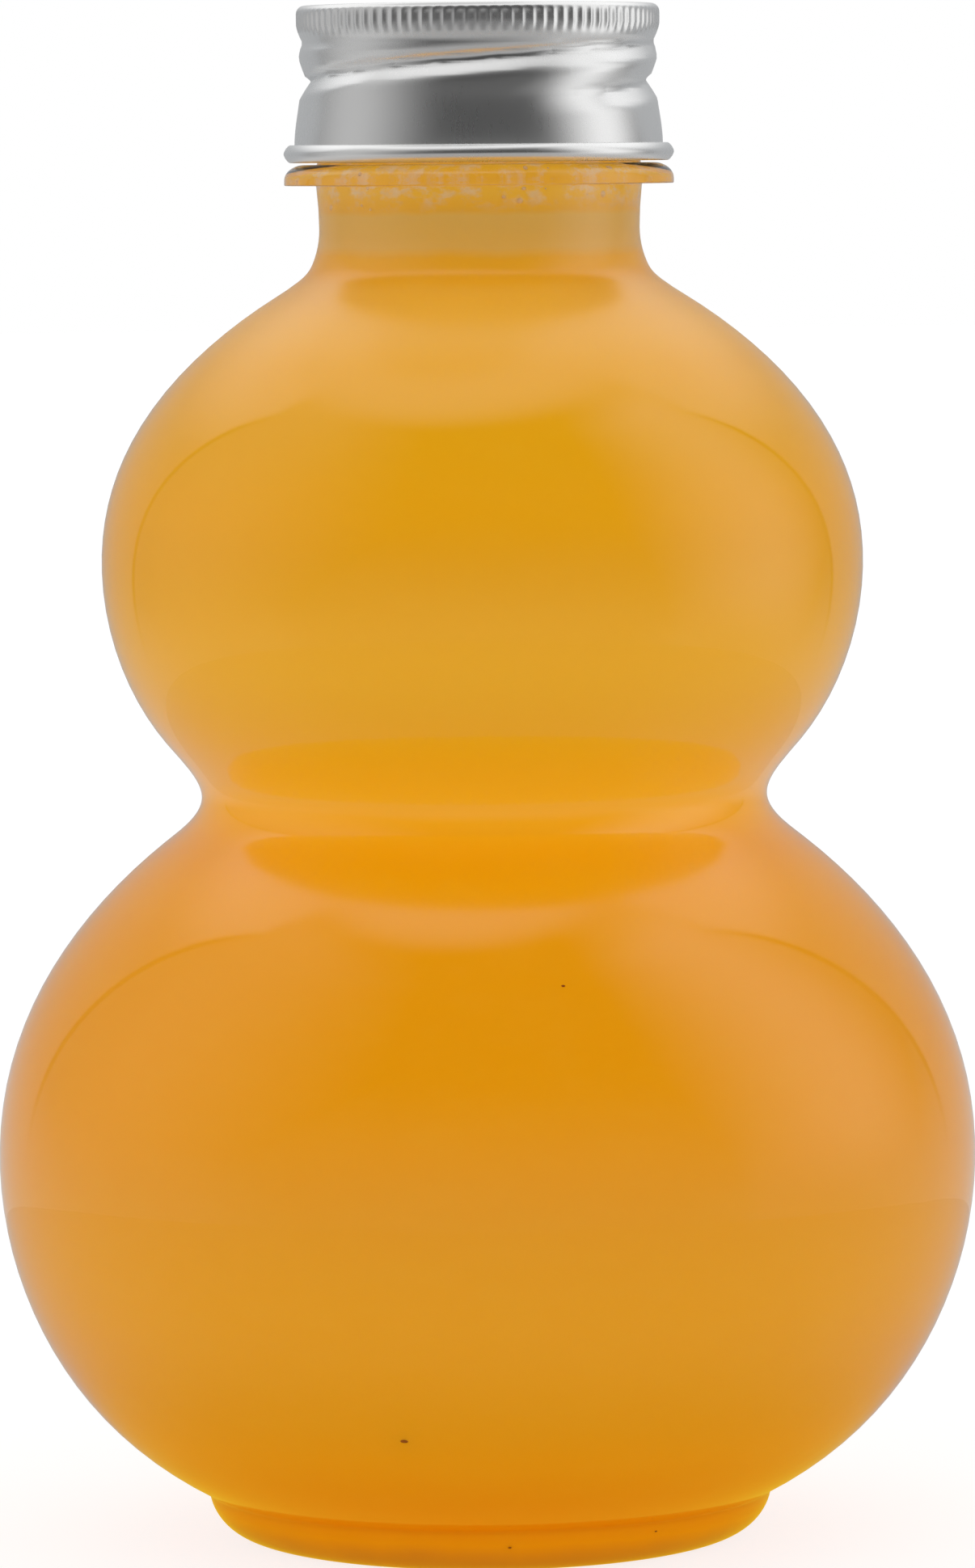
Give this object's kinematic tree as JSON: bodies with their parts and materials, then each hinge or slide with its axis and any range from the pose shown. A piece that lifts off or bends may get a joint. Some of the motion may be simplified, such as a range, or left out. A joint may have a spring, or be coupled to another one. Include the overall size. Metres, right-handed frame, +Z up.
{
  "type": "gourd bottle",
  "caption": "Clear blown bottle shaped like a gourd, filled with an orange drink and closed by a rolled aluminium screw cap.",
  "frame": {"origin": "on the bottle's axis, in the plane of the standing ring", "axes": "+Z up the axis towards the cap, -Y towards the viewer of the picture"},
  "size_m": [0.1064, 0.1064, 0.167],
  "materials": {
    "clear_plastic": "clear blown plastic, gloss",
    "drink": "cloudy orange liquid",
    "liner_foam": "matt foamed plastic",
    "cap_metal": "satin, rolled"
  },
  "bodies": {
    "bottle": {"bottle": "clear_plastic", "drink": "drink"},
    "liner": {"cap_liner": "liner_foam"},
    "cap": {"cap_shell": "cap_metal"}
  },
  "joints": [
    {"name": "cap_lift", "type": "slide", "parent": "bottle", "child": "liner", "axis": [0, 0, 1], "range_m": [0, 0.0229]},
    {"name": "cap_turn", "type": "hinge", "parent": "liner", "child": "cap", "pos_m": [0, 0, 0.16541], "axis": [0, 0, 1], "range_deg": [0, 1080]}
  ],
  "couplings": [
    {"joint": "cap_lift", "follows": "cap_turn", "m_per_rad": 0.0012096}
  ]
}
